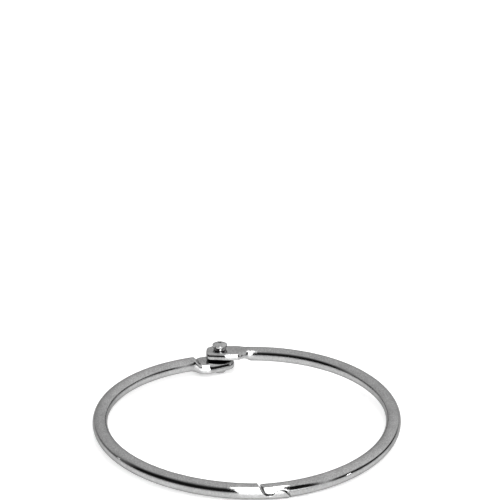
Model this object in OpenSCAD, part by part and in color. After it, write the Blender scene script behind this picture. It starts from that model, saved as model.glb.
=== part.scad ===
// Hinged loose-leaf binder ring: two half-rings of round wire.
// One end of each half is pressed into a flat lug, and a round-head rivet joins the two lugs.
// The other ends are pressed into two hooks that snap into each other.
//
// The origin is the centre of the ring, on the surface that the ring lies on, with +Z up.
// The hinge is at +Y and the catch is at -Y. The ring lies on its hooks and on the rivet's tail:
// both halves climb from the catch to the hinge, and the right half (+X) has the upper lug.

/* [Ring] */
// Clear diameter inside the closed ring
inside_d = 76; // [50:1:100]
// Diameter of the wire
wire_d = 4.1; // [3.6:0.1:5]
// Turn of each wire's end where it leaves the circle and runs straight to the rivet, in degrees
straight_turn = 11.5; // [10.5:0.5:15]
// Rise of each half's side over the line from the catch to the hinge
side_rise = 1; // [0:0.1:1.5]

/* [Lugs] */
// Thickness of the upper lug
upper_t = 2; // [1.6:0.1:2.4]
// Thickness of the lower lug at its free end
lower_t = 2.5; // [2:0.1:2.8]
// How much thicker the lower lug is at its wire
lower_taper = 0.8; // [0:0.1:1]
// Width of the upper lug from the rivet to its outer edge
upper_outer = 2.6; // [2.4:0.1:4]
// Width of the lower lug from the rivet to its outer edge
lower_outer = 3.4; // [2.4:0.1:4]
// Width of the lugs from the rivet to their inner edge, inside the ring
lug_inner = 3.6; // [3:0.1:4.2]
// Height of each lug's inner face past the middle of its own wire
lug_overlap = 0.5; // [0.2:0.05:0.7]
// Play between the two lugs, which lets the hooks be sprung apart
lug_play = 1; // [0.8:0.1:1.8]
// Distance from the rivet to the upper lug's free end
upper_reach = 3.9; // [3.4:0.1:4.4]
// Distance from the rivet to the lower lug's free end
lower_reach = 3.9; // [3.6:0.1:4.6]
// Radius of the free ends' outer corners, seen from above
outer_corner_r = 2.4; // [1.2:0.1:2.5]
// Radius of the free ends' inner corners, seen from above
inner_corner_r = 1; // [0.6:0.1:2]
// Rounding of the upper lug's edges
upper_edge_r = 0.45; // [0.2:0.05:0.6]
// Rounding of the lower lug's edges
lower_edge_r = 0.85; // [0.4:0.05:0.9]

/* [Necks] */
// Distance from the rivet to where the upper lug's wire is round
upper_neck = 9.4; // [8.8:0.1:11]
// Length of the step on the upper neck's underside
upper_step_l = 2.6; // [2:0.1:3.5]
// Length over which the upper lug widens
upper_flare_l = 5.4; // [4:0.1:6]
// Distance from the rivet to where the lower lug's wire is round
lower_neck = 9.8; // [8.8:0.1:11]
// Distance from the rivet to the top of the shoulder on the lower lug
shoulder = 8.5; // [7.5:0.1:9.2]
// Length of the shoulder
shoulder_l = 2.1; // [1.4:0.1:2.6]
// Length over which the lower lug widens on the outer side, from the shoulder
lower_flare_l = 3.6; // [2.5:0.1:4.5]

/* [Rivet] */
// Diameter of the rivet's shank
shank_d = 2.4; // [1.8:0.1:2.8]
// Diameter of the round head
head_d = 4.4; // [4:0.1:5.2]
// Height of the head's side, under its rim
head_side_h = 1.15; // [0.8:0.05:1.8]
// Height of the crown above the rim
head_crown_h = 1.05; // [0.8:0.05:1.6]
// How much narrower the head is at its foot, on each side
head_foot_in = 0.2; // [0:0.05:0.4]
// Diameter of the dimple in the crown
dimple_d = 0.9; // [0.5:0.1:1.4]
// Diameter of the tail that is upset under the lower lug
tail_d = 3.2; // [3:0.1:4.4]
// Height of the tail under the lower lug
tail_h = 1.4; // [0.4:0.1:1.6]
// Depth of the seat that the tail fills in the lower lug
tail_seat = 0.15; // [0.15:0.05:0.4]
// Bevel round the tail
tail_bevel = 0.2; // [0.1:0.05:0.3]

/* [Catch] */
// Overlap of the two hooks along the ring
hook_l = 7.7; // [7:0.1:8.5]
// Radius of the upper hook's nose
nose_r = 2.3; // [2.1:0.1:2.8]
// Height of the nose's underside over the bottom of the wire
nose_low = 1.75; // [1.5:0.05:2.1]
// Height of the lower hook's heel over the bottom of the wire
heel_h = 2.95; // [2.6:0.05:3.3]
// Depth of the notch over the nose
notch_h = 0.6; // [0.4:0.1:1.2]
// Width of the notch past the tip of the nose
notch_w = 0.5; // [0.3:0.1:1]
// Distance of the hooks' middle from the middle of the ring, towards the left half
catch_off = 0.8; // [0:0.1:1.5]

/* [Fits] */
// Gap between the two hooks
hook_gap = 0.1; // [0.06:0.02:0.2]
// Clearance round the shank in the upper lug, where it turns
turn_gap = 0.05; // [0.02:0.01:0.1]
// Interference of the shank in the lower lug, where it is swaged tight
swage = 0.01; // [0:0.005:0.02]
// Gap between the head and the upper lug
head_gap = 0.12; // [0.08:0.01:0.2]

/* [Hidden] */
$fn = 96;

wire_r = wire_d / 2;
ring_r = (inside_d + wire_d) / 2;
hinge_y = ring_r / cos(straight_turn);
straight_l = ring_r * tan(straight_turn);

// The lower hook's toe is the lowest point, because it lies past the middle of a tipped half
side_tip = asin(side_rise / ring_r);
low = wire_r + max(0, hook_l / 2 - catch_off) * sin(side_tip);

// Heights over the middle of each wire, at the rivet
upper_top = upper_t - lug_overlap;
lower_root = lug_overlap - lower_t - lower_taper;
lower_under = lower_root + lower_taper * lower_neck / (lower_neck + lower_reach);
// The ring lies on its hooks and on the rivet's tail, which holds the wires off the surface
lower_lift = max(0, tail_h - lower_under - low, -lower_root - low);
tail_top = lower_lift + lower_under;
upper_lift = lower_lift + 2 * lug_overlap + lug_play;

// Sections of a lug: points in each of the four corners, and steps of the walk along it
corner_steps = 7;
end_steps = 6;
body_steps = 16;
// The lug's root sits a little inside the wire's end, and is that much thinner than the wire
root_l = 0.3;
root_in = 0.03;

head_r = head_d / 2;
shank_r = shank_d / 2;
crown_r = (head_r * head_r + head_crown_h * head_crown_h) / (2 * head_crown_h);
head_foot_z = upper_lift + upper_top + head_gap;
rim_z = head_foot_z + head_side_h;
crown_z = rim_z + head_crown_h;

// Catch outline, along the ring (x) and up (y), from the middle of the wire: the nose and the
// back of the lower hook are two arcs that run into each other. The back is the arc that touches
// the nose, reaches up to the heel and ends at the toe.
tip_x = -catch_off - hook_l / 2;
toe_end = tip_x + hook_l;
nose_z = nose_low + nose_r - wire_r;
nose_x = tip_x + sqrt(nose_r * nose_r - (nose_z - wire_r) * (nose_z - wire_r));
back_w = toe_end - nose_x;
back_h = heel_h - wire_r - nose_z;
back_sum = back_w + back_h + nose_r;
toe_r = back_sum - sqrt(back_sum * back_sum - back_w * back_w - back_h * back_h + nose_r * nose_r);
toe_x = toe_end - toe_r;
toe_z = heel_h - wire_r - toe_r;
back_angle = acos((nose_x - toe_x) / (nose_r + toe_r));
toe_angle = asin(min(1, (wire_r + toe_z) / toe_r));
catch_reach = wire_r + 2;
arc_step = 7.5;

function clamp(x) = max(0, min(1, x));
function ease(run, x) =
    let (t = clamp((x - run[0]) / (run[1] - run[0]))) t * t * (3 - 2 * t);
function mix(a, b, t) = a + (b - a) * t;
// Inset of a rounded corner of radius r at a distance e from the end
function corner_inset(r, e) = e >= r ? 0 : r - sqrt(r * r - (r - e) * (r - e));

// A rounded rectangle round the wire's middle: outer and inner half-width, top, bottom, corner
function section(outer, inner, top, bottom, corner) =
    [for (q = [0:3], k = [0:corner_steps - 1])
        let (a = 90 * q + 90 * (k + 0.5) / corner_steps,
             w = (q == 0 || q == 3) ? outer - corner : corner - inner,
             z = q < 2 ? top - corner : bottom + corner)
        [w + corner * cos(a), z + corner * sin(a)]];

// The wire's path from the rivet: straight, and then along the circle
function turned(s) = max(0, s - straight_l) / ring_r * 180 / PI;
function path_x(s) = min(s, straight_l) + ring_r * sin(turned(s));
function path_y(s) = ring_r * (cos(turned(s)) - 1);

// One section of a lug, at the distance s along the path, set across the path. Each run is the
// stretch of the path, from the rivet out, where that side turns from the lug into the wire.
function lug_ring(s, reach, neck, width, edge_r, top, top_run, low, low_run, taper, outer_run, inner_run) =
    let (e = s + reach,
         thin = s < neck ? 0 : root_in,
         edge = corner_inset(edge_r, e) + thin,
         outer = mix(width, wire_r, ease(outer_run, s)) - corner_inset(outer_corner_r, e) - thin,
         inner = mix(lug_inner, wire_r, ease(inner_run, s)) - corner_inset(inner_corner_r, e) - thin,
         high = mix(top, wire_r, ease(top_run, s)) - edge,
         under = low + taper * (neck - s) / (neck + reach),
         foot = mix(under, -wire_r, ease(low_run, s)) + edge,
         round_r = mix(edge_r, wire_r, ease(top_run, s)),
         corner = min(round_r, (high - foot) / 2, (outer + inner) / 2) - 0.001,
         b = turned(s))
    [for (p = section(outer, inner, high, foot, corner))
        [path_x(s) + p[0] * sin(b), path_y(s) + p[0] * cos(b), p[1]]];

// A wire's end pressed flat, from its free end to a root inside the round wire
module lug(reach, neck, width, edge_r, top, top_run, low, low_run, taper, outer_run, inner_run) {
    stations = concat(
        [for (i = [0:end_steps - 1]) outer_corner_r * (1 - cos(90 * i / end_steps)) - reach],
        [for (i = [0:body_steps]) mix(outer_corner_r - reach, neck, i / body_steps)],
        [neck + root_l]);
    rings = [for (s = stations)
        lug_ring(s, reach, neck, width, edge_r, top, top_run, low, low_run, taper,
            outer_run, inner_run)];
    n = 4 * corner_steps;
    last = len(rings) - 1;
    points = [for (ring = rings, p = ring) p];
    walls = [for (j = [0:last - 1], k = [0:n - 1])
        let (a = j * n + k, b = j * n + (k + 1) % n)
        each [[a, a + n, b], [b, a + n, b + n]]];
    caps = [[for (k = [0:n - 1]) k], [for (k = [0:n - 1]) last * n + n - 1 - k]];
    polyhedron(points = points, faces = concat(caps, walls), convexity = 4);
}

// The round wire of a right-hand half, level, from its neck to past the catch
module wire(neck) {
    from = 90 - straight_turn - turned(neck);
    to = -90 - (hook_l / 2 + catch_off + 1) / ring_r * 180 / PI;
    rotate([0, 0, to])
        rotate_extrude(angle = from - to)
            translate([ring_r, 0]) circle(r = wire_r);
    if (neck < straight_l)
        at_hinge() translate([neck, 0, 0]) rotate([0, 90, 0])
            cylinder(r = wire_r, h = straight_l - neck);
}

// Turns and moves a lug that points along +X into its place at the rivet
module at_hinge() {
    translate([0, hinge_y, 0]) rotate([0, 0, -straight_turn]) children();
}

// Tips a right-hand half about the catch, so that its wire is lifted at the hinge and its side
module raised(lift) {
    translate([0, -ring_r, 0])
        rotate([asin(lift / (hinge_y + ring_r)), -side_tip, 0])
            translate([0, ring_r, 0]) children();
}

// Lifts a piece from the middle of the wire at the catch to the surface that the ring lies on
module on_surface() {
    translate([0, 0, low]) children();
}

function arc(x, z, r, from, to) =
    let (n = ceil(abs(to - from) / arc_step))
    [for (i = [0:n]) let (a = mix(from, to, i / n)) [x + r * cos(a), z + r * sin(a)]];

// The S-shaped parting line: round the nose, over the heel and down to the toe of the lower
// hook. A positive grow moves the line into the lower hook.
function parting_line(grow) = concat(
    arc(nose_x, nose_z, nose_r + grow, 90, 180 + back_angle),
    arc(toe_x, toe_z, toe_r - grow, back_angle, -toe_angle),
    [[toe_x + toe_r * cos(toe_angle) - grow, -catch_reach]]);

// All that lies over and to the right of the parting line
module upper_side(grow) {
    polygon(concat(parting_line(grow),
        [[3 * hook_l, -catch_reach], [3 * hook_l, nose_z + nose_r + grow]]));
}

// The notch that opens the top of the lower hook over the nose
module notch(grow) {
    z = wire_r - notch_h;
    side = nose_x - sqrt(pow(nose_r + grow, 2) - pow(nose_z - z, 2));
    polygon([[nose_x, z], [side, z], [tip_x - notch_w, wire_r],
        [tip_x - notch_w, wire_r + 1], [nose_x, wire_r + 1]]);
}

// Turns an outline in X and Z into a cutter across the wire at the catch
module across_catch() {
    translate([0, wire_r + 1 - ring_r, 0]) rotate([90, 0, 0])
        linear_extrude(height = wire_d + 2) children();
}

module left_half_ring() {
    color("silver") on_surface() difference() {
        mirror([1, 0, 0]) raised(lower_lift) {
            wire(lower_neck);
            at_hinge() lug(lower_reach, lower_neck, lower_outer, lower_edge_r,
                lug_overlap, [shoulder - shoulder_l, shoulder],
                lower_root, [shoulder - shoulder_l, lower_neck], lower_taper,
                [shoulder - lower_flare_l, shoulder], [shoulder - shoulder_l, lower_neck]);
        }
        translate([0, hinge_y, -wire_d]) cylinder(r = shank_r - swage, h = 2 * wire_d);
        translate([0, hinge_y, tail_top - wire_d]) cylinder(r = tail_d / 2, h = wire_d + tail_seat);
        across_catch() upper_side(hook_gap / 2);
        across_catch() notch(hook_gap / 2);
    }
}

module right_half_ring() {
    color("silver") on_surface() difference() {
        raised(upper_lift) {
            wire(upper_neck);
            at_hinge() lug(upper_reach, upper_neck, upper_outer, upper_edge_r,
                upper_top, [upper_neck - upper_step_l, upper_neck],
                -lug_overlap, [upper_neck - upper_step_l, upper_neck], 0,
                [upper_neck - upper_flare_l, upper_neck], [upper_neck - upper_flare_l, upper_neck]);
        }
        translate([0, hinge_y, -wire_d]) cylinder(r = shank_r + turn_gap, h = 3 * wire_d);
        across_catch() difference() {
            translate([-2 * hook_l, -catch_reach]) square([4 * hook_l, 2 * catch_reach]);
            upper_side(-hook_gap / 2);
        }
    }
}

// Half of the rivet's outline, from its axis out
module rivet_outline() {
    tail_foot = tail_top - tail_h;
    tail_end = tail_top + tail_seat;
    translate([0, tail_foot]) square([shank_r, rim_z - tail_foot]);
    intersection() {
        translate([0, crown_z - crown_r]) circle(r = crown_r);
        polygon([[0, head_foot_z], [head_r - head_foot_in, head_foot_z], [head_r, rim_z],
            [head_r, crown_z + 1], [0, crown_z + 1]]);
    }
    polygon([[0, tail_foot], [tail_d / 2 - tail_bevel, tail_foot],
        [tail_d / 2, tail_foot + tail_bevel], [tail_d / 2, tail_end], [0, tail_end]]);
}

module rivet() {
    color("gainsboro") on_surface() translate([0, hinge_y, 0]) rotate_extrude() difference() {
        rivet_outline();
        translate([0, crown_z + dimple_d / 4]) circle(r = dimple_d / 2);
    }
}

left_half_ring();
right_half_ring();
rivet();
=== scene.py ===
"""Hinged loose-leaf binder ring: two plated wire half-rings, joined by a rivet through their
pressed lugs, that snap together by their hooks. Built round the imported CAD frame, in metres."""

import math

import bmesh
import bpy
import numpy as np
from mathutils import Matrix, Vector


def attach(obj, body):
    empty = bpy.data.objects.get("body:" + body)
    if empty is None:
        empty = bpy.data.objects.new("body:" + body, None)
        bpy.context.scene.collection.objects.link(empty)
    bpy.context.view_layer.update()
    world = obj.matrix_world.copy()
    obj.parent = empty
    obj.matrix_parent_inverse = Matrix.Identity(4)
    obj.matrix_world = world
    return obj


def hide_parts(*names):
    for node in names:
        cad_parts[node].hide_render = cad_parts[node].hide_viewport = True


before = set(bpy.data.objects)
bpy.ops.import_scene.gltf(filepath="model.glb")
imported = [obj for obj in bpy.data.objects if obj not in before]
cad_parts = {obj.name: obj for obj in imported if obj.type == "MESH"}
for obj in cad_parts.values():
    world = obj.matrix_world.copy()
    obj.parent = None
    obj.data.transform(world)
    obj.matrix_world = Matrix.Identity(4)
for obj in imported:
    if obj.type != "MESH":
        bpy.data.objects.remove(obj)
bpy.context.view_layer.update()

MM = 0.001

# ---------------------------------------------------------------- sizes, in millimetres
WIRE_R = 2.05
RING_R = 40.05                     # to the middle of the wire
TURN = math.radians(11.5)          # round the circle, which each straight end takes up
SIDE_RISE = 1.0                    # of each half's side over the line from catch to hinge

# Lugs: their lengths and widths are measured from the rivet
UPPER_OUTER, LOWER_OUTER, LUG_INNER = 2.6, 3.4, 3.6
UPPER_REACH, LOWER_REACH = 3.9, 3.9
UPPER_NECK, LOWER_NECK = 9.4, 9.8
UPPER_T, LOWER_T = 2.0, 2.5
LOWER_TAPER = 0.8                  # how much thicker the lower lug is at its wire
LUG_OVERLAP = 0.5                  # of each lug's facing side past the middle of its wire
LUG_PLAY = 1.0
OUTER_CORNER = 2.4
SIDE_IN, UNDER_IN = 0.01, 0.03     # how far the lower lug lies inside its solid
SLOPE_END, SLOPE_BEND = 1.5, 0.3   # where the upper lug's sloping inner side turns straight

# Rivet
SHANK_R, HEAD_R, HEAD_SIDE, HEAD_CROWN = 1.2, 2.2, 1.4, 0.7
HEAD_FOOT_IN = 0.34
HEAD_GAP, TURN_GAP, SWAGE = 0.12, 0.05, 0.01
DIMPLE_R, DIMPLE_DEPTH, DIMPLE_STEP = 0.5, 0.4, 0.02
DIMPLE_ROUND = 0.8                 # of its hollow: 0.5 for a ball's, 1 for a flatter bowl's
DIMPLE_MOUTH = 1.25                # where the crown ends, against the dimple's radius
TAIL_R, TAIL_H, TAIL_SEAT, TAIL_BEVEL, TAIL_FLAT_IN = 1.6, 1.4, 0.15, 0.2, 0.15
# The head's side, as points (out, up): from the foot's radius and height, from the head's
# radius and the foot's height, and from the rim
HEAD_FOOT_SIDE = (-0.08, 0), (-0.02, 0.02), (0, 0.08), (0, 0.6), (0.04, 0.7)
HEAD_UPPER_SIDE = (-0.05, 0.82), (-0.01, 0.9)
HEAD_RIM_SIDE = (-0.01, -0.1), (0, -0.03)
CROWN_START = 0.985                # of the rim's angle, so that the rim is a small step

# Catch
HOOK_L, NOSE_R, NOSE_LOW, HEEL_H, CATCH_OFF = 7.7, 2.3, 2.0, 2.95, 0.8
NOTCH_H, NOTCH_W = 0.5, 0.36
HOOK_EDGE, TIP_EDGE = 0.12, 0.6    # rounding of the hooks' edges, and of the upper one's tip
TIP_EDGE_RUN = (0.75, 1)           # shares of the hook over which the one turns into the other
HOOK_LEAD = 5.5                    # round wire before a hook, where its rows start to lean
# The gap between the hooks all but closes at the heel. The runs are shares of the nose's arc
# and of the toe's, over which one gap turns into the next.
TIP_GAP, NOSE_GAP, HEEL_GAP, TOE_GAP, FOOT_GAP = 0.34, 0.52, 0.06, 0.44, 0.22
NOSE_GAP_RUN, HEEL_GAP_RUN = (0.2, 0.55), (0.75, 1)
TOE_GAP_RUN, FOOT_GAP_RUN = (0.25, 0.55), (0.55, 0.95)
# Each row of a hook leans from the parting line to the hook's uncut side. The first one ends
# this far back from its start, and the others at (share of the rows, place along X).
UPPER_LEAN = 2.8, ((0.08, -5.1), (0.38, -1.8), (0.68, 1.9), (0.84, 3.2))
LOWER_LEAN = 2.6, ((0.37, -2.3), (0.65, 0.3), (0.93, 2.2))

HINGE_Y = RING_R / math.cos(TURN)
STRAIGHT_L = RING_R * math.tan(TURN)
CATCH_S = STRAIGHT_L + RING_R * (math.pi - TURN)
SIDE_TIP = math.asin(SIDE_RISE / RING_R)
CATCH_H = WIRE_R + max(0, HOOK_L / 2 - CATCH_OFF) * math.sin(SIDE_TIP)
UPPER_TOP = UPPER_T - LUG_OVERLAP
LOWER_ROOT = LUG_OVERLAP - LOWER_T - LOWER_TAPER
LOWER_UNDER = LOWER_ROOT + LOWER_TAPER * LOWER_NECK / (LOWER_NECK + LOWER_REACH)
LOWER_LIFT = max(0, TAIL_H - LOWER_UNDER - CATCH_H, -LOWER_ROOT - CATCH_H)
UPPER_LIFT = LOWER_LIFT + 2 * LUG_OVERLAP + LUG_PLAY
TAIL_TOP = LOWER_LIFT + LOWER_UNDER
HEAD_FOOT = UPPER_LIFT + UPPER_TOP + HEAD_GAP
HEAD_RIM = HEAD_FOOT + HEAD_SIDE
LEFT_BORE = CATCH_H - 3, CATCH_H + 4       # heights over the surface, clear of the lugs
RIGHT_BORE = CATCH_H, CATCH_H + 7

# A lug's runs are the stretches of the path, from the rivet out, where it turns into the wire.
# brow is the radius of its upper inner edge, at the free end and where it turns into the wire.
UPPER_LUG = dict(reach=UPPER_REACH, neck=UPPER_NECK, round_from=10.0,
                 width=UPPER_OUTER, edge=0.45, taper=0,
                 top=UPPER_TOP, top_run=(6.8, 9.4), low=-LUG_OVERLAP, low_run=(6.8, 9.4),
                 outer_run=(4.0, 9.4), inner_run=(4.9, 8.9), edge_run=(5.5, 9.4),
                 inner_corner=1.0, inner_slope=0.11, brow=(1.2, 1.2))
LOWER_LUG = dict(reach=LOWER_REACH, neck=LOWER_NECK, round_from=10.4,
                 width=LOWER_OUTER - SIDE_IN, edge=0.85, taper=LOWER_TAPER,
                 top=LUG_OVERLAP, top_run=(6.4, 8.5), low=LOWER_ROOT + UNDER_IN,
                 low_run=(6.4, 9.8), outer_run=(4.9, 8.5), inner_run=(3.9, 9.1),
                 edge_run=(6.4, 8.5), inner_corner=2.4, inner_slope=0.0, brow=(1.2, 2.3))

# Steps of the meshes
QUARTER = 20                       # points in each quarter of a section
CORNER_SHARE = 0.6                 # of the flats' points, that crowd into their corner
END_ROWS, LUG_ROWS, LEAD_ROWS, HOOK_ROWS = 22, 70, 16, 110
WIRE_STEP = 0.7
ARC_POINTS, NOTCH_POINTS, TAIL_POINTS = 60, 14, 8
SOFTENINGS = 60                    # passes that round the bends of a run
CAP_RINGS = (0.75, 0.45)           # scales of the rings inside a lug's end
TURNED_STEPS, BORE_STEPS = 128, 96
BEVEL_POINTS, CROWN_POINTS = 7, 28
DIMPLE_SHARES = (1.0, 0.95, 0.85, 0.7, 0.5, 0.3, 0.0)      # of its radius, rim to middle
TINY = 1e-9
MERGE, SLIVER = 2e-6, 1e-7         # in metres
SOFT_ANGLE, RIVET_SOFT_ANGLE = 40, 50


def mix(a, b, t):
    """The value at the share t of the way from a to b."""
    return a + (b - a) * t


def ease(run, x):
    """0 before the run, 1 past it and a soft climb between."""
    t = max(0.0, min(1.0, (x - run[0]) / (run[1] - run[0])))
    return t * t * (3 - 2 * t)


def corner_inset(r, e):
    """How far a corner of radius r draws a side in, at the distance e from its end."""
    return 0.0 if e >= r else r - math.sqrt(r * r - (r - e) ** 2)


# ---------------------------------------------------------------- sections of the wire
def quarter_section(side, flat, corner):
    """A quarter of a rounded rectangle, from the middle of its side to the middle of its top."""
    turn = math.pi / 2 * corner + CORNER_SHARE * (side + flat)
    total = side + turn + flat
    points = []
    for k in range(QUARTER + 1):
        d = total * k / QUARTER
        if d < side:
            points.append((flat + corner, d))
        elif d <= side + turn:
            a = (d - side) / turn * math.pi / 2
            points.append((flat + corner * math.cos(a), side + corner * math.sin(a)))
        else:
            points.append((flat * (total - d) / max(flat, TINY), side + corner))
    return points


def lug_section(outer, inner, top, bottom, outer_edges, inner_edges):
    """All round a pressed section, from its outer side over its top. Each side's edges are the
    radii of its top and its bottom edge."""
    half_w, middle = (outer + inner) / 2, (outer - inner) / 2
    loop = []
    for sx, sz, edges, way in ((1, 1, outer_edges, 1), (-1, 1, inner_edges, -1),
                               (-1, -1, inner_edges, 1), (1, -1, outer_edges, -1)):
        split = (top - edges[0] + bottom + edges[1]) / 2
        r, height = (edges[0], top - split) if sz > 0 else (edges[1], split - bottom)
        run = quarter_section(height - r, half_w - r, r)[::way]
        loop += [(middle + sx * p, split + sz * z) for p, z in run[:-1]]
    return loop


def hook_half_section(cut, edge):
    """Outer half of the round wire that is cut off level at the height cut, bottom to top."""
    most_edge = 0.45               # share of what the cut leaves of the wire
    edge_share, edge_reach = 0.8, 0.6      # the points that the edge takes from the cut
    r = min(edge, most_edge * (cut + WIRE_R))
    centre = math.sqrt(max(0.0, (WIRE_R - r) ** 2 - (cut - r) ** 2))
    end = math.atan2(cut - r, centre) if WIRE_R - cut > TINY else math.pi / 2
    round_l = WIRE_R * (end + math.pi / 2)
    edge_l = r * (math.pi / 2 - end) + edge_share * min(centre, edge_reach)
    total = round_l + edge_l + centre
    points = []
    for j in range(2 * QUARTER + 1):
        d = total * j / (2 * QUARTER)
        if d <= round_l:
            a = d / WIRE_R - math.pi / 2
            points.append((WIRE_R * math.cos(a), WIRE_R * math.sin(a)))
        elif d < round_l + edge_l:
            a = mix(end, math.pi / 2, (d - round_l) / edge_l)
            points.append((centre + r * math.cos(a), cut - r + r * math.sin(a)))
        else:
            points.append((total - d, cut))
    return points


def hook_section(cut, edge, over):
    """All round a hook's section, from its outer side over its top. over keeps what is above."""
    half = hook_half_section(-cut if over else cut, edge)
    if over:
        half = [(p, -z) for p, z in half[::-1]]
    up, down = half[QUARTER:], half[:QUARTER]
    return (up + [(-p, z) for p, z in up[:-1][::-1]]
            + [(-p, z) for p, z in down[::-1]] + down[1:])


# ---------------------------------------------------------------- rows along the wire blank
def lug_rows(reach, neck, round_from, width, edge, taper, top, top_run, low, low_run,
             outer_run, inner_run, edge_run, inner_corner, inner_slope, brow):
    """Rows of a pressed lug, free end first: points (distance along the wire, across, up)."""
    ends = [OUTER_CORNER * (1 - math.cos(math.pi / 2 * i / END_ROWS)) for i in range(END_ROWS)]
    body = [mix(OUTER_CORNER, round_from + reach, i / LUG_ROWS) for i in range(LUG_ROWS + 1)]
    rows = []
    for e in ends + body:
        s = e - reach
        outer = mix(width, WIRE_R, ease(outer_run, s)) - corner_inset(OUTER_CORNER, e)
        back = SLOPE_END - s
        slope = inner_slope * (math.hypot(back, SLOPE_BEND) + back) / 2
        inner = (mix(LUG_INNER - slope, WIRE_R, ease(inner_run, s))
                 - corner_inset(inner_corner, e))
        inset = corner_inset(edge, e)
        high = mix(top, WIRE_R, ease(top_run, s)) - inset
        under = low + taper * (neck - s) / (neck + reach)
        foot = mix(under, -WIRE_R, ease(low_run, s)) + inset
        plain = mix(edge, WIRE_R, ease(edge_run, s))
        brow_r = mix(*brow, min(1, e / (reach + inner_run[0])))
        rounded = max(plain, mix(brow_r, WIRE_R, ease(inner_run, s)))
        fit = min(1, (high - foot) / (plain + rounded), (outer + inner) / (plain + rounded))
        section = lug_section(outer, inner, high, foot, (plain * fit, plain * fit),
                              (rounded * fit, plain * fit))
        rows.append([(s, p, z) for p, z in section])
    return rows


def arc(x, z, start, end, radii):
    """An arc whose radius follows the list from its start to its end, in degrees."""
    a = np.radians(np.linspace(start, end, len(radii)))
    return np.stack([x + radii * np.cos(a), z + radii * np.sin(a)], -1)


def parting_line(side, notched):
    """The S-shaped line between the hooks, from the nose's tip to the toe: (along X, up).
    side is 1 for the lower hook's face and -1 for the upper one's. The line runs on a little
    past the wire at both ends."""
    past_top = 150                         # the angle at which the upper hook's nose starts
    past_under = 0.05, 0.6                 # where the tail under the toe starts and ends
    notch_run = 1.6, 0.03                  # of the notch's slope, from over the wire to its foot
    tip_x = -CATCH_OFF - HOOK_L / 2
    toe_end = tip_x + HOOK_L
    nose_z = NOSE_LOW + NOSE_R - WIRE_R
    nose_x = tip_x + math.sqrt(NOSE_R ** 2 - (nose_z - WIRE_R) ** 2)
    back_w, back_h = toe_end - nose_x, HEEL_H - WIRE_R - nose_z
    total = back_w + back_h + NOSE_R
    toe_r = total - math.sqrt(total ** 2 - back_w ** 2 - back_h ** 2 + NOSE_R ** 2)
    toe_x, toe_z = toe_end - toe_r, HEEL_H - WIRE_R - toe_r
    back = math.degrees(math.acos((nose_x - toe_x) / (NOSE_R + toe_r)))
    toe = math.degrees(math.asin(min(1, (WIRE_R + toe_z) / toe_r)))
    shares = np.linspace(0, 1, ARC_POINTS)
    nose_gaps = [mix(mix(TIP_GAP, NOSE_GAP, ease(NOSE_GAP_RUN, f)), HEEL_GAP,
                     ease(HEEL_GAP_RUN, f)) for f in shares]
    toe_gaps = [mix(mix(HEEL_GAP, TOE_GAP, ease(TOE_GAP_RUN, f)), FOOT_GAP,
                    ease(FOOT_GAP_RUN, f)) for f in shares]
    nose_radii = NOSE_R + side / 2 * np.array(nose_gaps)
    toe_radii = toe_r - side / 2 * np.array(toe_gaps)
    start, lead = past_top, np.zeros((0, 2))
    if notched:
        z = WIRE_R - NOTCH_H
        start = 180 - math.degrees(math.asin((z - nose_z) / nose_radii[0]))
        notch_x = nose_x - math.sqrt(nose_radii[0] ** 2 - (nose_z - z) ** 2)
        slope = np.array([tip_x - NOTCH_W - notch_x, WIRE_R - z])
        lead = [notch_x, z] + slope * np.linspace(*notch_run, NOTCH_POINTS)[:, None]
    foot = toe_x + toe_r * math.cos(math.radians(toe)) - side / 2 * FOOT_GAP
    tail_z = np.linspace(-WIRE_R - past_under[0], -WIRE_R - past_under[1], TAIL_POINTS)
    return np.concatenate([lead,
                           arc(nose_x, nose_z, start, 180 + back, nose_radii),
                           arc(toe_x, toe_z, back, -toe, toe_radii)[1:],
                           np.stack([np.full(TAIL_POINTS, foot), tail_z], -1)])


def leaving_wire(inner, outer):
    """Where the line from a point inside the wire to one outside crosses its top or underside."""
    z = math.copysign(WIRE_R, outer[1])
    return inner + (outer - inner) * (z - inner[1]) / (outer[1] - inner[1])


def clipped(line):
    """The part of a line that lies inside the wire, cut exactly at its top and its underside."""
    inside = np.flatnonzero(np.abs(line[:, 1]) <= WIRE_R)
    first, last = inside[0], inside[-1]
    points = list(line[first:last + 1])
    if first > 0:
        points.insert(0, leaving_wire(line[first], line[first - 1]))
    if last + 1 < len(line):
        points.append(leaving_wire(line[last], line[last + 1]))
    return np.array(points)


def resampled(line, count):
    """The same line through a number of evenly spaced points."""
    d = np.concatenate([[0], np.cumsum(np.linalg.norm(np.diff(line, axis=0), axis=1))])
    at = np.linspace(0, d[-1], count)
    return np.stack([np.interp(at, d, line[:, i]) for i in (0, 1)], -1)


def smooth_run(stops, count):
    """Values at even steps through (share, value) stops, with soft bends."""
    f = np.linspace(0, 1, count)
    v = np.interp(f, [s[0] for s in stops], [s[1] for s in stops])
    for _ in range(SOFTENINGS):
        v[1:-1] = (v[:-2] + 2 * v[1:-1] + v[2:]) / 4
    return v


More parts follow.
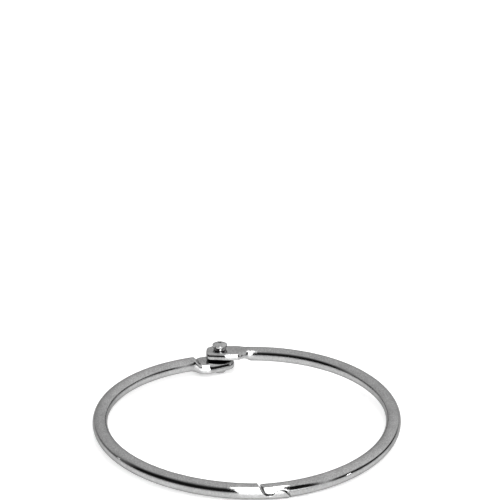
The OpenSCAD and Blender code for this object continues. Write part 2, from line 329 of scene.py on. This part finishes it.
def hook_rows(over):
    """Rows of a hook, from the round wire to its tip, and where along the ring they start.
    over is the right half's upper hook."""
    line = parting_line(-1 if over else 1, not over)
    x, z = line[:, 0], line[:, 1]
    c, s = math.cos(SIDE_TIP), math.sin(SIDE_TIP)
    if over:
        line = np.stack([-(x * c + z * s), -x * s + z * c], -1)[::-1]
    else:
        line = np.stack([x * c - z * s, x * s + z * c], -1)
    line = resampled(clipped(line), HOOK_ROWS)
    first, last = line[0, 0], line[-1, 0]
    start = first - HOOK_LEAD
    lean, stops = UPPER_LEAN if over else LOWER_LEAN
    far = smooth_run([(0, first - lean), *stops, (1, last)], HOOK_ROWS)
    uncut = WIRE_R if over else -WIRE_R            # the height of the side that stays whole
    places = []
    for i in range(LEAD_ROWS):
        t = i / LEAD_ROWS
        places.append((mix(start, first, t), -uncut, mix(start, far[0], t), ease((0, 1), t),
                       HOOK_EDGE))
    for i, ((near_x, cut), far_x) in enumerate(zip(line, far)):
        rounding = mix(HOOK_EDGE, TIP_EDGE, ease(TIP_EDGE_RUN, i / HOOK_ROWS))
        places.append((near_x, cut, far_x, 1.0, rounding if over else HOOK_EDGE))
    rows = []
    for near_x, cut, far_x, across, edge in places:
        height = uncut - cut
        row = []
        for p, up in hook_section(max(-WIRE_R, min(WIRE_R, cut)), edge, over):
            t = (up - cut) / height if abs(height) > TINY else 0
            along = mix(near_x, far_x, t)
            row.append((CATCH_S + RING_R * math.asin(along / (RING_R + across * p)), p, up))
        rows.append(row)
    return rows, start


# ---------------------------------------------------------------- the straight blanks
def in_scene(name, data):
    obj = bpy.data.objects.new(name, data)
    bpy.context.scene.collection.objects.link(obj)
    return obj


def mesh_in_scene(name, bm):
    """An object made of the mesh that bm holds, and frees."""
    mesh = bpy.data.meshes.new(name)
    bm.to_mesh(mesh)
    bm.free()
    return in_scene(name, mesh)


def skinned(name, rows):
    """A skin over rows of points, capped at the first. The last one is flat and needs no cap.
    The UV map holds the distance along the wire and the turn round it."""
    around = len(rows[0])
    bm = bmesh.new()
    uv = bm.loops.layers.uv.new("Along the wire")
    verts = [[bm.verts.new([c * MM for c in p]) for p in row] for row in rows]
    for j in range(len(rows) - 1):
        for k in range(around):
            n = (k + 1) % around
            face = bm.faces.new((verts[j][k], verts[j + 1][k], verts[j + 1][n], verts[j][n]))
            corners = ((j, k), (j + 1, k), (j + 1, k + 1), (j, k + 1))
            for loop, (row, turn) in zip(face.loops, corners):
                loop[uv].uv = (rows[row][k][0] * MM, turn / around)
    middle = np.mean(rows[0], axis=0)
    outer = verts[0]
    for scale in CAP_RINGS:
        ring = [bm.verts.new((middle + (np.array(p) - middle) * scale) * MM) for p in rows[0]]
        for k in range(around):
            n = (k + 1) % around
            face = bm.faces.new((outer[k], outer[n], ring[n], ring[k]))
            for loop in face.loops:
                loop[uv].uv = (rows[0][0][0] * MM, k / around)
        outer = ring
    bm.faces.new(outer[::-1])
    return mesh_in_scene(name, bm)


def half_ring_blank(name, lug, over):
    """The straight wire of a half-ring with its lug and its hook pressed, not yet bent."""
    hooks, lead = hook_rows(over)
    start, end = lug["round_from"], CATCH_S + RING_R * math.asin(lead / RING_R)
    count = int((end - start) / WIRE_STEP)
    ring = lug_section(WIRE_R, WIRE_R, WIRE_R, -WIRE_R, (WIRE_R, WIRE_R), (WIRE_R, WIRE_R))
    wire = [[(mix(start, end, i / count), p, z) for p, z in ring] for i in range(1, count)]
    return skinned(name, lug_rows(**lug) + wire + hooks)


# ---------------------------------------------------------------- bending the blank round
class Tree:
    """A node tree that is written as sums."""

    def __init__(self, tree):
        self.tree = tree

    def node(self, kind, inputs=(), **settings):
        node = self.tree.nodes.new(kind)
        for key, value in settings.items():
            setattr(node, key, value)
        for key, value in (inputs.items() if isinstance(inputs, dict) else enumerate(inputs)):
            self.put(node.inputs[key], value)
        return node

    def put(self, socket, value):
        if isinstance(value, bpy.types.NodeSocket):
            self.tree.links.new(value, socket)
        elif value is not None:
            socket.default_value = value

    def math(self, operation, *values):
        return self.node("ShaderNodeMath", values, operation=operation).outputs[0]

    def vector(self, operation, *values):
        return self.node("ShaderNodeVectorMath", values, operation=operation).outputs

    def xyz(self, x, y, z):
        return self.node("ShaderNodeCombineXYZ", [x, y, z]).outputs[0]

    def grey(self, tone):
        return self.node("ShaderNodeCombineColor", [tone, tone, tone]).outputs[0]

    def ramp(self, value, start, end, low=0.0, high=1.0, soft=False):
        """low where the value is at start and high where it is at end."""
        return self.node("ShaderNodeMapRange", {"Value": value, "From Min": start, "From Max": end,
                                                "To Min": low, "To Max": high},
                         interpolation_type="SMOOTHSTEP" if soft else "LINEAR").outputs[0]


def bend_tree():
    """Bends a straight blank round the ring, tips it up to the hinge and lays it on its hook."""
    group = bpy.data.node_groups.new("Bend wire into half-ring", "GeometryNodeTree")
    t = Tree(group)
    face = group.interface
    face.new_socket(name="Blank", in_out="INPUT", socket_type="NodeSocketGeometry")
    for name in ("Ring radius", "Straight length", "Turn at the rivet", "Rivet from the centre",
                 "Tip at the catch", "Tip of the side", "Height of the catch", "Side"):
        face.new_socket(name=name, in_out="INPUT", socket_type="NodeSocketFloat")
    face.new_socket(name="Finish", in_out="INPUT", socket_type="NodeSocketMaterial")
    face.new_socket(name="Half-ring", in_out="OUTPUT", socket_type="NodeSocketGeometry")
    given = t.node("NodeGroupInput").outputs
    radius, straight = given["Ring radius"], given["Straight length"]
    place = t.node("ShaderNodeSeparateXYZ", [t.node("GeometryNodeInputPosition").outputs[0]])
    along, across, up = place.outputs
    past_straight = t.math("MAXIMUM", t.math("SUBTRACT", along, straight), 0.0)
    turned = t.math("DIVIDE", past_straight, radius)
    reach = t.math("ADD", radius, across)
    x = t.math("ADD", t.math("MINIMUM", along, straight),
               t.math("MULTIPLY", reach, t.math("SINE", turned)))
    y = t.math("SUBTRACT", t.math("MULTIPLY", reach, t.math("COSINE", turned)), radius)
    back = t.math("MULTIPLY", given["Turn at the rivet"], -1.0)
    turned_in = t.node("ShaderNodeVectorRotate", {"Vector": t.xyz(x, y, up), "Angle": back},
                       rotation_type="Z_AXIS").outputs[0]
    rivet_place = t.xyz(0.0, given["Rivet from the centre"], 0.0)
    at_rivet = t.vector("ADD", turned_in, rivet_place)[0]
    catch = t.xyz(0.0, t.math("MULTIPLY", radius, -1.0), 0.0)
    tips = t.xyz(given["Tip at the catch"], t.math("MULTIPLY", given["Tip of the side"], -1.0),
                 0.0)
    tipped = t.node("ShaderNodeVectorRotate",
                    {"Vector": at_rivet, "Center": catch, "Rotation": tips},
                    rotation_type="EULER_XYZ").outputs[0]
    sides = t.xyz(given["Side"], 1.0, 1.0)
    lift = t.xyz(0.0, 0.0, given["Height of the catch"])
    placed = t.vector("MULTIPLY_ADD", tipped, sides, lift)[0]
    moved = t.node("GeometryNodeSetPosition", {"Geometry": given["Blank"], "Position": placed})
    whole = t.node("GeometryNodeRealizeInstances", [moved.outputs[0]])
    finish = t.node("GeometryNodeSetMaterial", {"Geometry": whole.outputs[0],
                                                "Material": given["Finish"]})
    t.node("NodeGroupOutput", [finish.outputs[0]])
    return group


def bend(blank, tree, lift, side, finish):
    """Bends a blank. lift is its lug's height over its hook, and side is -1 for the left half."""
    values = {"Ring radius": RING_R * MM, "Straight length": STRAIGHT_L * MM,
              "Turn at the rivet": TURN, "Rivet from the centre": HINGE_Y * MM,
              "Tip at the catch": math.asin(lift / (HINGE_Y + RING_R)),
              "Tip of the side": SIDE_TIP, "Height of the catch": CATCH_H * MM,
              "Side": side, "Finish": finish}
    bending = blank.modifiers.new("Bend", "NODES")
    bending.node_group = tree
    for item in tree.interface.items_tree:
        if item.in_out == "INPUT" and item.name in values:
            bending[item.identifier] = values[item.name]
    bake(blank)


def bake(obj):
    """Turns an object and its modifiers into a plain mesh."""
    seen = obj.evaluated_get(bpy.context.evaluated_depsgraph_get())
    mesh = bpy.data.meshes.new_from_object(seen)
    obj.modifiers.clear()
    old = obj.data
    obj.data = mesh
    mesh.name = obj.name
    bpy.data.meshes.remove(old)


def close_skin(obj):
    """Merges doubled points and turns every face outwards."""
    bm = bmesh.new()
    bm.from_mesh(obj.data)
    bmesh.ops.remove_doubles(bm, verts=bm.verts, dist=MERGE)
    bmesh.ops.dissolve_degenerate(bm, edges=bm.edges, dist=SLIVER)
    bmesh.ops.recalc_face_normals(bm, faces=bm.faces)
    bm.to_mesh(obj.data)
    bm.free()


def smooth(obj, angle):
    obj.data.shade_smooth()
    obj.data.set_sharp_from_angle(angle=math.radians(angle))


def lathed(name, outline, steps):
    """A turned piece on the rivet's axis from its outline: points (radius, height)."""
    bm = bmesh.new()
    turns = [2 * math.pi * i / steps for i in range(steps)]
    rings = []
    for r, z in outline:
        if r < TINY:
            rings.append([bm.verts.new((0, HINGE_Y * MM, z * MM))])
        else:
            rings.append([bm.verts.new((r * math.cos(a) * MM, (HINGE_Y + r * math.sin(a)) * MM,
                                        z * MM)) for a in turns])
    for low, high in zip(rings, rings[1:]):
        for i in range(steps):
            n = (i + 1) % steps
            corners = [low[i % len(low)], low[n % len(low)],
                       high[n % len(high)], high[i % len(high)]]
            unique = list(dict.fromkeys(corners))
            if len(unique) > 2:
                bm.faces.new(unique)
    bmesh.ops.recalc_face_normals(bm, faces=bm.faces)
    return mesh_in_scene(name, bm)


def bore(obj, radius, low, high):
    """Cuts a hole for the rivet, between two heights over the surface."""
    cutter = lathed("cutter", [(0, low), (radius, low), (radius, high), (0, high)], BORE_STEPS)
    cut = obj.modifiers.new("Bore", "BOOLEAN")
    cut.operation, cut.solver, cut.object = "DIFFERENCE", "EXACT", cutter
    bake(obj)
    bpy.data.objects.remove(cutter)


# ---------------------------------------------------------------- finishes
def plated_metal(name, tone, gloss, lines):
    """Bright plating over drawn steel. lines is the depth of the drawing lines along the wire,
    against that of the specks."""
    cloud_scale, speck_scale = 260.0, 2300.0       # features to a metre
    cloud_share, speck_share = 0.35, 0.65
    line_scale = 60.0, 70.0, 1.0                   # along the wire, and round it
    tones, glosses = (0.82, 1.18), (0.75, 1.3)     # against the finish's own
    tone_run, gloss_run = (0.35, 0.65), (0.3, 0.7)         # of the noise
    bump_strength, bump_depth = 0.12, 0.00004
    material = bpy.data.materials.new(name)
    material.use_nodes = True
    t = Tree(material.node_tree)
    shader = material.node_tree.nodes["Principled BSDF"]
    shader.inputs["Metallic"].default_value = 1.0
    shader.inputs["Specular Tint"].default_value = (0.45, 0.45, 0.45, 1)
    place = t.node("ShaderNodeTexCoord").outputs["Object"]
    cloud, speck = (t.node("ShaderNodeTexNoise", {"Vector": place, "Scale": scale,
                                                  "Detail": detail}).outputs[0]
                    for scale, detail in ((cloud_scale, 3.0), (speck_scale, 2.0)))
    mottle = t.math("ADD", t.math("MULTIPLY", cloud, cloud_share),
                    t.math("MULTIPLY", speck, speck_share))
    shade = t.ramp(mottle, *tone_run, *(tone * share for share in tones))
    # painted shade: the colour darkens between the lugs and in the rivet's dimple
    shade = t.math("MULTIPLY", shade, painted_hinge_shade(t, place))
    t.put(shader.inputs["Base Color"], t.grey(shade))
    rough = t.ramp(cloud, *gloss_run, *(gloss * share for share in glosses))
    t.put(shader.inputs["Roughness"], rough)
    height = speck
    if lines:
        along = t.node("ShaderNodeUVMap", uv_map="Along the wire").outputs[0]
        drawn = t.node("ShaderNodeMapping", {"Vector": along, "Scale": line_scale})
        streaks = t.node("ShaderNodeTexNoise", {"Vector": drawn.outputs[0], "Scale": 1.0,
                                                "Detail": 3.0}).outputs[0]
        height = t.math("ADD", t.math("MULTIPLY", streaks, lines), height)
    bump = t.node("ShaderNodeBump", {"Height": height, "Strength": bump_strength,
                                     "Distance": bump_depth})
    t.put(shader.inputs["Normal"], bump.outputs[0])
    return material


def painted_hinge_shade(t, place):
    """Painted shade that darkens the faces between the lugs and the head's dimple, where shade
    falls: 1 outside, low in them.
    """
    # how far the painted shade darkens the colour
    painted_shade_depth = 0.88
    outer_r, inner_r = 4.3, 3.5            # where the painted shade between the lugs fades out
    fade_from, fade_to = 0.12, 0.04        # depth into a lug's face
    dimple_out, dimple_in = 0.04, 0.06     # where it fades out round the dimple's edge
    dimple_rise = 0.1                      # and over the head's rim
    x, y, z = t.node("ShaderNodeSeparateXYZ", [place]).outputs
    off = t.math("SUBTRACT", y, HINGE_Y * MM)
    reach = t.math("SQRT", t.math("ADD", t.math("MULTIPLY", x, x), t.math("MULTIPLY", off, off)))
    floor = CATCH_H + LOWER_LIFT + LUG_OVERLAP
    roof = CATCH_H + UPPER_LIFT - LUG_OVERLAP
    rim = CATCH_H + HEAD_RIM
    near = soft_ramp(t, reach, outer_r, inner_r)
    over_floor = soft_ramp(t, z, floor - fade_from, floor - fade_to)
    under_roof = soft_ramp(t, z, roof + fade_from, roof + fade_to)
    between = t.math("MULTIPLY", near, t.math("MULTIPLY", over_floor, under_roof))
    in_dimple = soft_ramp(t, reach, DIMPLE_R + dimple_out, DIMPLE_R - dimple_in)
    dimple = t.math("MULTIPLY", in_dimple, soft_ramp(t, z, rim, rim + dimple_rise))
    painted_shade = t.math("MAXIMUM", between, dimple)
    return t.math("SUBTRACT", 1.0, t.math("MULTIPLY", painted_shade, painted_shade_depth))


def soft_ramp(t, value, start, end):
    """0 where the value, in metres, is at start, and 1 at end; both in millimetres."""
    return t.ramp(value, start * MM, end * MM, soft=True)


wire_finish = plated_metal("Plated steel wire", 0.43, 0.065, 1.2)
rivet_finish = plated_metal("Plated rivet", 0.48, 0.08, 0)


# ---------------------------------------------------------------- the pieces
tree = bend_tree()
left = half_ring_blank("left_half_wire", LOWER_LUG, over=False)
bend(left, tree, LOWER_LIFT, -1.0, wire_finish)
right = half_ring_blank("right_half_wire", UPPER_LUG, over=True)
bend(right, tree, UPPER_LIFT, 1.0, wire_finish)
for half in (left, right):
    close_skin(half)
bore(left, SHANK_R - SWAGE, *LEFT_BORE)
bore(left, TAIL_R, LEFT_BORE[0], CATCH_H + TAIL_TOP + TAIL_SEAT)
bore(right, SHANK_R + TURN_GAP, *RIGHT_BORE)
for half in (left, right):
    close_skin(half)
    smooth(half, SOFT_ANGLE)


def rivet_outline():
    """From the middle of the upset tail, out and up, to the middle of the dimpled head."""
    foot, seat = TAIL_TOP - TAIL_H, TAIL_TOP + TAIL_SEAT
    bevel_r = TAIL_R - TAIL_BEVEL
    points = [(0, foot), (bevel_r - TAIL_FLAT_IN, foot)]
    points += [(bevel_r + TAIL_BEVEL * math.sin(a), foot + TAIL_BEVEL * (1 - math.cos(a)))
               for a in np.linspace(0, math.pi / 2, BEVEL_POINTS)]
    points += [(TAIL_R, seat), (SHANK_R, seat), (SHANK_R, HEAD_FOOT)]
    for r, z, side in ((HEAD_R - HEAD_FOOT_IN, HEAD_FOOT, HEAD_FOOT_SIDE),
                       (HEAD_R, HEAD_FOOT, HEAD_UPPER_SIDE), (HEAD_R, HEAD_RIM, HEAD_RIM_SIDE)):
        points += [(r + out, z + up) for out, up in side]
    crown = HEAD_RIM + HEAD_CROWN
    crown_r = (HEAD_R ** 2 + HEAD_CROWN ** 2) / (2 * HEAD_CROWN)
    centre = crown - crown_r
    start = math.asin(HEAD_R / crown_r)
    end = DIMPLE_R * DIMPLE_MOUTH / crown_r
    points += [(crown_r * math.sin(a), centre + crown_r * math.cos(a))
               for a in np.linspace(start * CROWN_START, end, CROWN_POINTS)]
    points += [(DIMPLE_R * u, crown - DIMPLE_DEPTH * (1 - u ** 2) ** DIMPLE_ROUND - DIMPLE_STEP)
               for u in DIMPLE_SHARES]
    return [(r, z + CATCH_H) for r, z in points]


rivet = lathed("hinge_rivet", rivet_outline(), TURNED_STEPS)
rivet.data.materials.append(rivet_finish)
smooth(rivet, RIVET_SOFT_ANGLE)

for piece, node, body, slot in ((left, "left_half_ring", "left_half", "plated_wire"),
                                (right, "right_half_ring", "right_half", "plated_wire"),
                                (rivet, "rivet", "left_half", "plated_rivet")):
    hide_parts(node)
    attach(piece, body)


# ---------------------------------------------------------------- studio
AZ, EL, DISTANCE, FOCAL = 11.15, 25.46, 0.502, 1825.4      # degrees, metres, pixels
CENTRE_U, CENTRE_V = 246.75, 423.6                        # where the ring's centre falls
FRAME, SENSOR = 500, 36                                   # pixels and millimetres across
to_target = Vector((math.sin(math.radians(AZ)) * math.cos(math.radians(EL)),
                    math.cos(math.radians(AZ)) * math.cos(math.radians(EL)),
                    -math.sin(math.radians(EL))))
level = Vector((math.cos(math.radians(AZ)), -math.sin(math.radians(AZ)), 0))
ring_centre = Vector((0, 0, CATCH_H * MM))


def add_camera():
    """A long lens that looks past the ring, so that the ring stands low in the frame."""
    camera = in_scene("Camera", bpy.data.cameras.new("Camera"))
    camera.data.sensor_width = SENSOR
    camera.data.lens = FOCAL * SENSOR / FRAME
    camera.data.clip_start = 0.01
    pitch = math.atan((CENTRE_V - FRAME / 2) / FOCAL)
    yaw = math.atan((CENTRE_U - FRAME / 2) / FOCAL * math.cos(pitch))
    upward = level.cross(to_target)
    look = to_target * math.cos(pitch) + upward * math.sin(pitch)
    raised = upward * math.cos(pitch) - to_target * math.sin(pitch)
    aim = look * math.cos(yaw) - level * math.sin(yaw)
    right = level * math.cos(yaw) + look * math.sin(yaw)
    turn = Matrix((right, raised, -aim)).transposed().to_4x4()
    camera.matrix_world = Matrix.Translation(ring_centre - to_target * DISTANCE) @ turn
    bpy.context.scene.camera = camera


def studio_direction(left_of_camera, elevation):
    """A direction from the ring, in degrees to the left of the camera and over the surface."""
    a, e = math.radians(left_of_camera), math.radians(elevation)
    toward = Vector((-to_target.x, -to_target.y, 0)).normalized()
    flat = toward * math.cos(a) - level * math.sin(a)
    return flat * math.cos(e) + Vector((0, 0, math.sin(e)))


def fading_glow(name, radiance, soft):
    """A light that fades out at the edges of its UV map."""
    material = bpy.data.materials.new(name)
    material.use_nodes = True
    material.node_tree.nodes.clear()
    t = Tree(material.node_tree)
    place = t.node("ShaderNodeUVMap", uv_map="Card").outputs[0]
    u, v = t.node("ShaderNodeSeparateXYZ", [place]).outputs[:2]
    cover = 1.0
    for value, width in ((u, soft[0]), (t.math("SUBTRACT", 1.0, u), soft[1]),
                         (v, soft[2]), (t.math("SUBTRACT", 1.0, v), soft[3])):
        cover = t.math("MULTIPLY", cover, t.ramp(value, 0.0, width, soft=True))
    glow = t.node("ShaderNodeEmission", {"Strength": radiance})
    clear = t.node("ShaderNodeBsdfTransparent")
    both = t.node("ShaderNodeMixShader", [cover, clear.outputs[0], glow.outputs[0]])
    t.node("ShaderNodeOutputMaterial", [both.outputs[0]])
    return material


def card(name, ribs, radiance, soft, distance=1.6):
    """A studio card that only light and mirrors see, lofted through ribs. A rib is a pair of
    directions, in degrees left of the camera and over the surface. soft is how far the card
    fades in, as shares of it, at its first and last rib and at the ribs' first and last ends."""
    across, between = 16, 8
    lighting = 0.5                 # the radiance from which a card lights matt surfaces too
    lines = [[[mix(a[i][k], b[i][k], n / between) for k in (0, 1)] for i in (0, 1)]
             for a, b in zip(ribs, ribs[1:]) for n in range(between)] + [ribs[-1]]
    middles = [np.mean(line, axis=0) for line in lines]
    along = np.cumsum([0] + [math.dist(*pair) for pair in zip(middles, middles[1:])])
    along /= along[-1]
    bm = bmesh.new()
    uv = bm.loops.layers.uv.new("Card")
    grid = [[bm.verts.new(studio_direction(*(mix(line[0][k], line[1][k], j / across)
                                             for k in (0, 1))) * distance)
             for j in range(across + 1)] for line in lines]
    for i in range(len(lines) - 1):
        for j in range(across):
            corners = ((i, j), (i + 1, j), (i + 1, j + 1), (i, j + 1))
            face = bm.faces.new([grid[a][b] for a, b in corners])
            for loop, (a, b) in zip(face.loops, corners):
                loop[uv].uv = (along[a], b / across)
    shape = mesh_in_scene(name, bm)
    shape.data.materials.append(fading_glow(name, radiance, soft))
    shape.visible_camera = False
    shape.visible_shadow = False
    shape.visible_diffuse = radiance > lighting


def glint_lamp(name, left_of_camera, elevation, ring_turn, radiance):
    """A small lamp that is aimed at one spot of the ring, ring_turn degrees left of its front."""
    away, size = 0.5, 0.012        # metres from the spot, and of the lamp
    beam, softness = 2.4, 0.4      # degrees, and share of the beam
    data = bpy.data.lights.new(name, "SPOT")
    data.shadow_soft_size = size
    data.spot_size = math.radians(beam)
    data.spot_blend = softness
    data.energy = radiance * (2 * math.pi * size) ** 2
    lamp = in_scene(name, data)
    spot = studio_direction(ring_turn, 0) * RING_R * MM + ring_centre
    direction = studio_direction(left_of_camera, elevation)
    lamp.location = spot + direction * away
    lamp.rotation_euler = direction.to_track_quat("Z", "Y").to_euler()
    lamp.visible_camera = False


def add_floor():
    """A white table that shows white to the camera and in the metal, and keeps the shadow."""
    half = 8.0                     # metres
    tone, shine = 0.88, 0.08
    camera_lift, mirror_lift = 0.34, 0.2
    bm = bmesh.new()
    bm.faces.new([bm.verts.new((x * half, y * half, 0))
                  for x, y in ((-1, -1), (1, -1), (1, 1), (-1, 1))])
    floor = mesh_in_scene("floor", bm)
    material = bpy.data.materials.new("White table")
    material.use_nodes = True
    material.node_tree.nodes.clear()
    t = Tree(material.node_tree)
    matt = t.node("ShaderNodeBsdfDiffuse", {"Color": (tone, tone, tone, 1)})
    gloss = t.node("ShaderNodeBsdfGlossy", {"Color": (1, 1, 1, 1), "Roughness": shine})
    rays = t.node("ShaderNodeLightPath").outputs
    mirrored = t.math("MAXIMUM", rays["Is Glossy Ray"], rays["Is Transmission Ray"])
    strength = t.math("ADD", t.math("MULTIPLY", rays["Is Camera Ray"], camera_lift),
                      t.math("MULTIPLY", mirrored, mirror_lift))
    lift = t.node("ShaderNodeEmission", {"Strength": strength})
    white = t.node("ShaderNodeAddShader", [matt.outputs[0], lift.outputs[0]])
    glance = t.math("MULTIPLY", t.node("ShaderNodeFresnel", {"IOR": 1.5}).outputs[0],
                    t.math("SUBTRACT", 1.0, rays["Is Camera Ray"]))
    whole = t.node("ShaderNodeMixShader", [glance, white.outputs[0], gloss.outputs[0]])
    t.node("ShaderNodeOutputMaterial", [whole.outputs[0]])
    floor.data.materials.append(material)


def add_world():
    """The pale room round the table, darker towards the left, and white to the camera."""
    right_tone, left_tone = 0.98, 0.62
    world = bpy.data.worlds.new("Studio")
    world.use_nodes = True
    bpy.context.scene.world = world
    t = Tree(world.node_tree)
    place = t.node("ShaderNodeTexCoord").outputs["Generated"]
    leftward = t.vector("DOT_PRODUCT", place, tuple(-level))["Value"]
    tone = t.ramp(leftward, -1.0, 1.0, right_tone, left_tone)
    tone = t.math("MAXIMUM", tone, t.node("ShaderNodeLightPath").outputs["Is Camera Ray"])
    t.put(world.node_tree.nodes["Background"].inputs["Color"], t.grey(tone))


add_camera()
add_floor()
add_world()
card("Window",
     [((4.7, -0.5), (-26.8, -0.5)), ((5.5, 22), (-26.8, 22)), ((9.7, 42), (-26.8, 42)),
      ((12, 54), (-29.3, 54)), ((13, 66), (-42, 66)), ((12.5, 74), (-64, 74)),
      ((0, 84), (-115, 84))],
     5.0, (0.01, 0.12, 0.02, 0.02), distance=1.3)
card("Low light on the right",
     [((-20, -2), (-20, 34)), ((-58, -2), (-58, 34))],
     1.9, (0.02, 0.72, 0.05, 0.3), distance=1.7)
card("Dark card on the left",
     [((4, -15), (7, 69)), ((40, -15), (40, 69)), ((64, -15), (64, 65)), ((80, -15), (80, 50)),
      ((112, -15), (112, 39))],
     0.01, (0.01, 0.33, 0.3, 0.45), distance=0.42)
card("Dark card on the right",
     [((-24, 3), (-24, 61)), ((-40, -1), (-40, 60)), ((-57, -5), (-57, 52))],
     0.005, (0.02, 0.36, 0.2, 0.16))
card("Low dark band on the right",
     [((-50, -3), (-50, 27)), ((-64, -4), (-64, 26)), ((-80, -4), (-80, 27)),
      ((-96, -4), (-96, 20)), ((-112, -4), (-112, 14)), ((-150, -4), (-150, 12))],
     0.005, (0.16, 0.3, 0.04, 0.48))
card("Low dark band on the left",
     [((88, -4), (88, 24)), ((112, -4), (112, 17)), ((150, -4), (150, 7))],
     0.2, (0.2, 0.5, 0.02, 0.6))
glint_lamp("Small lamp on the left", 100, 5, 56, 9)
glint_lamp("Small lamp on the right", -74, 2, -41, 26)
bpy.context.scene.view_settings.view_transform = "Standard"
